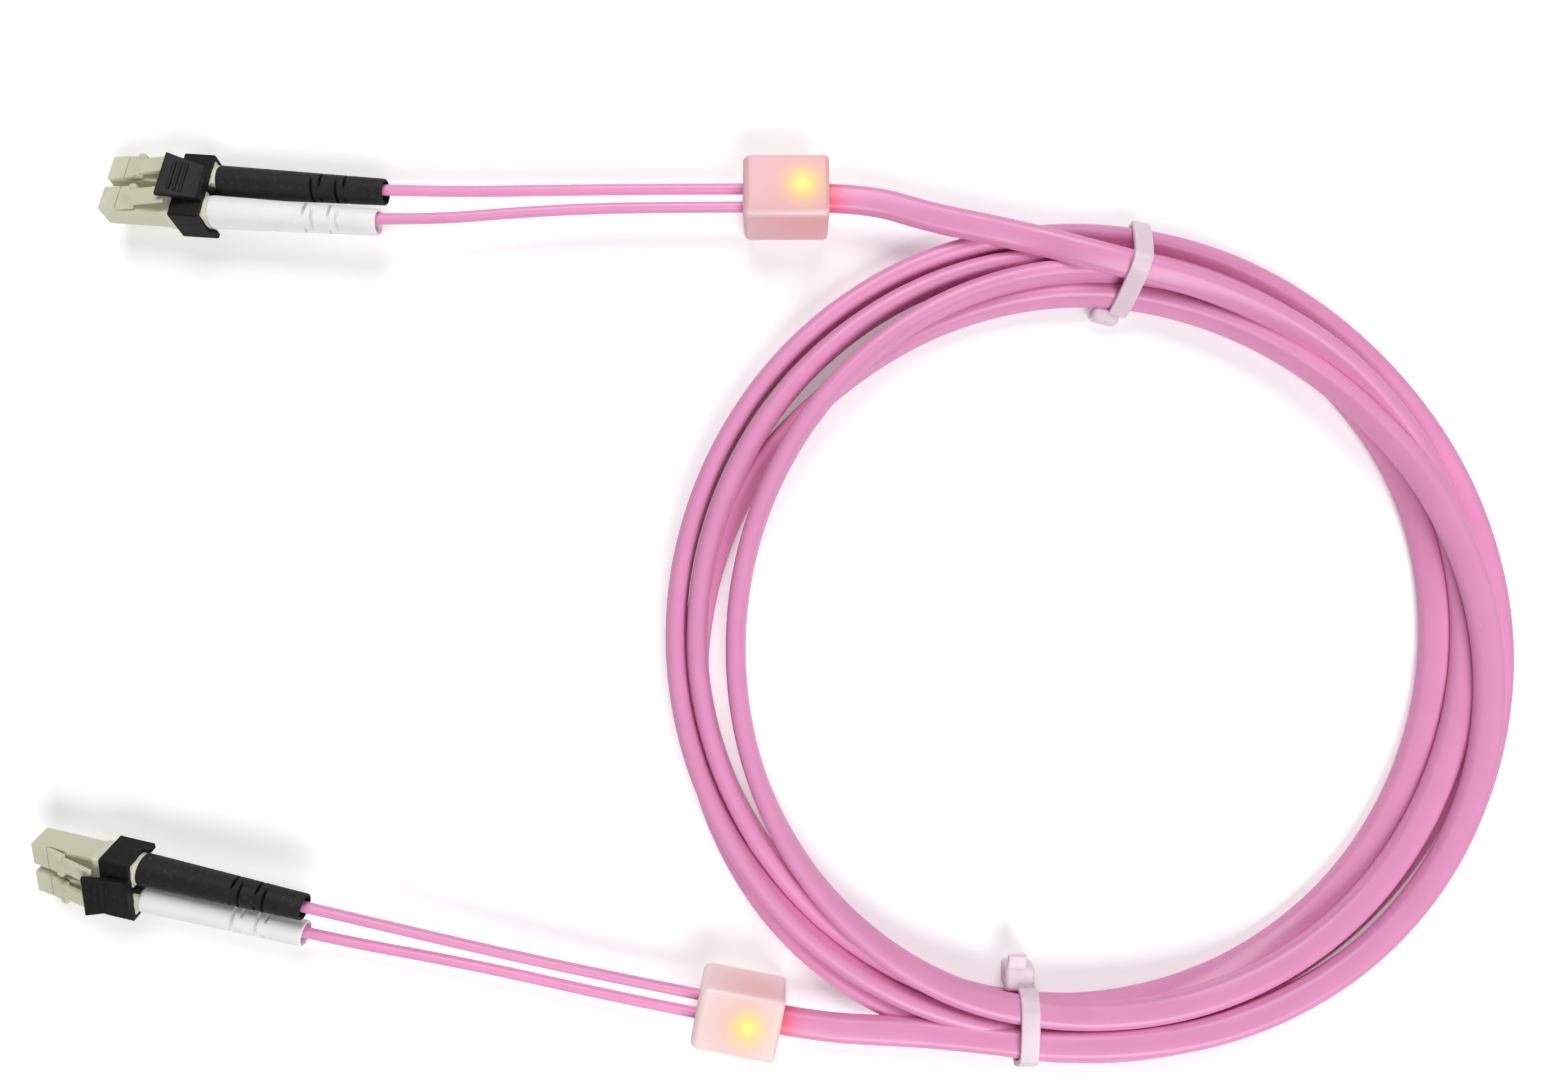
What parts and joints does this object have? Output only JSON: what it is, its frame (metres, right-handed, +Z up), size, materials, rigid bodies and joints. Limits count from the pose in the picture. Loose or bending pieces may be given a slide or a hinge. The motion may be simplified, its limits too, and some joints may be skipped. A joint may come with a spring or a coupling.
{
  "type": "fibre patch cord",
  "caption": "Coiled duplex fibre patch cord held by ties, with a light block, thin legs and a clipped pair of latched plugs with boots at each end.",
  "frame": {"origin": "On the table, under the middle of the box round the plugs, clips, boots and light blocks.", "axes": "+Z up from the table; +X from the plugs towards the coil; +Y from end b's plugs towards end a's."},
  "size_m": [0.2563, 0.1599, 0.0131],
  "materials": {
    "jacket": "satin",
    "plug": "satin",
    "boot_black": "matt",
    "boot_white": "matt",
    "clip": "semi-gloss",
    "tie": "translucent natural",
    "block": "milky translucent",
    "tracer": "clear",
    "ceramic": "polished",
    "metal": "plated",
    "spring": "bright"
  },
  "bodies": {
    "cord": {"boot_a_black": "boot_black", "boot_a_white": "boot_white", "boot_b_black": "boot_black", "boot_b_white": "boot_white", "cable_coil": "jacket", "cable_lead_a": "jacket", "cable_lead_b": "jacket", "crimp_sleeve_a_black": "metal", "crimp_sleeve_a_white": "metal", "crimp_sleeve_b_black": "metal", "crimp_sleeve_b_white": "metal", "duplex_clip_a": "clip", "duplex_clip_b": "clip", "ferrule_spring_a_black": "spring", "ferrule_spring_a_white": "spring", "ferrule_spring_b_black": "spring", "ferrule_spring_b_white": "spring", "leg_a_black": "jacket", "leg_a_white": "jacket", "leg_b_black": "jacket", "leg_b_white": "jacket", "light_block_a": "block", "light_block_b": "block", "plug_housing_a_black": "plug", "plug_housing_a_white": "plug", "plug_housing_b_black": "plug", "plug_housing_b_white": "plug", "rear_body_a_black": "plug", "rear_body_a_white": "plug", "rear_body_b_black": "plug", "rear_body_b_white": "plug", "tie_lower": "tie", "tie_upper": "tie", "tracer_tip_a": "tracer", "tracer_tip_b": "tracer"},
    "trigger_a": {"trigger_a": "clip"},
    "latch_a_black": {"latch_arm_a_black": "plug"},
    "ferrule_a_black": {"ferrule_a_black": "ceramic", "ferrule_holder_a_black": "metal"},
    "latch_a_white": {"latch_arm_a_white": "plug"},
    "ferrule_a_white": {"ferrule_a_white": "ceramic", "ferrule_holder_a_white": "metal"},
    "trigger_b": {"trigger_b": "clip"},
    "latch_b_black": {"latch_arm_b_black": "plug"},
    "ferrule_b_black": {"ferrule_b_black": "ceramic", "ferrule_holder_b_black": "metal"},
    "latch_b_white": {"latch_arm_b_white": "plug"},
    "ferrule_b_white": {"ferrule_b_white": "ceramic", "ferrule_holder_b_white": "metal"}
  },
  "joints": [
    {"name": "trigger_a_press", "type": "hinge", "parent": "cord", "child": "trigger_a", "pos_m": [-0.03868, 0.07177, 0.00888], "axis": [-0.0833, -0.9312, 0.3548], "range_deg": [0, 13], "stiffness_Nm_per_rad": 0.02},
    {"name": "latch_a_black_flex", "type": "hinge", "parent": "cord", "child": "latch_a_black", "pos_m": [-0.05215, 0.07521, 0.00594], "axis": [0.0833, 0.9312, -0.3548], "range_deg": [0, 7.02]},
    {"name": "ferrule_a_black_push", "type": "slide", "parent": "cord", "child": "ferrule_a_black", "axis": [0.9964, -0.0732, 0.0419], "range_m": [0, 0.001], "stiffness_N_per_m": 1500, "springref_m": -0.0025, "deforming": ["ferrule_spring_a_black"]},
    {"name": "latch_a_white_flex", "type": "hinge", "parent": "cord", "child": "latch_a_white", "pos_m": [-0.05267, 0.06939, 0.00816], "axis": [0.0833, 0.9312, -0.3548], "range_deg": [0, 7.02]},
    {"name": "ferrule_a_white_push", "type": "slide", "parent": "cord", "child": "ferrule_a_white", "axis": [0.9964, -0.0732, 0.0419], "range_m": [0, 0.001], "stiffness_N_per_m": 1500, "springref_m": -0.0025, "deforming": ["ferrule_spring_a_white"]},
    {"name": "trigger_b_press", "type": "hinge", "parent": "cord", "child": "trigger_b", "pos_m": [-0.05133, -0.04957, 0.00939], "axis": [-0.1548, -0.8673, -0.4732], "range_deg": [0, 13], "stiffness_Nm_per_rad": 0.02},
    {"name": "latch_b_black_flex", "type": "hinge", "parent": "cord", "child": "latch_b_black", "pos_m": [-0.06412, -0.04339, 0.00885], "axis": [0.1548, 0.8673, 0.4732], "range_deg": [0, 7.02]},
    {"name": "ferrule_b_black_push", "type": "slide", "parent": "cord", "child": "ferrule_b_black", "axis": [0.9763, -0.2075, 0.061], "range_m": [0, 0.001], "stiffness_N_per_m": 1500, "springref_m": -0.0025, "deforming": ["ferrule_spring_b_black"]},
    {"name": "latch_b_white_flex", "type": "hinge", "parent": "cord", "child": "latch_b_white", "pos_m": [-0.06509, -0.04881, 0.00589], "axis": [0.1548, 0.8673, 0.4732], "range_deg": [0, 7.02]},
    {"name": "ferrule_b_white_push", "type": "slide", "parent": "cord", "child": "ferrule_b_white", "axis": [0.9763, -0.2075, 0.061], "range_m": [0, 0.001], "stiffness_N_per_m": 1500, "springref_m": -0.0025, "deforming": ["ferrule_spring_b_white"]}
  ],
  "couplings": [
    {"joint": "latch_a_black_flex", "follows": "trigger_a_press", "ratio": 0.54},
    {"joint": "latch_a_white_flex", "follows": "trigger_a_press", "ratio": 0.54},
    {"joint": "latch_b_black_flex", "follows": "trigger_b_press", "ratio": 0.54},
    {"joint": "latch_b_white_flex", "follows": "trigger_b_press", "ratio": 0.54}
  ]
}
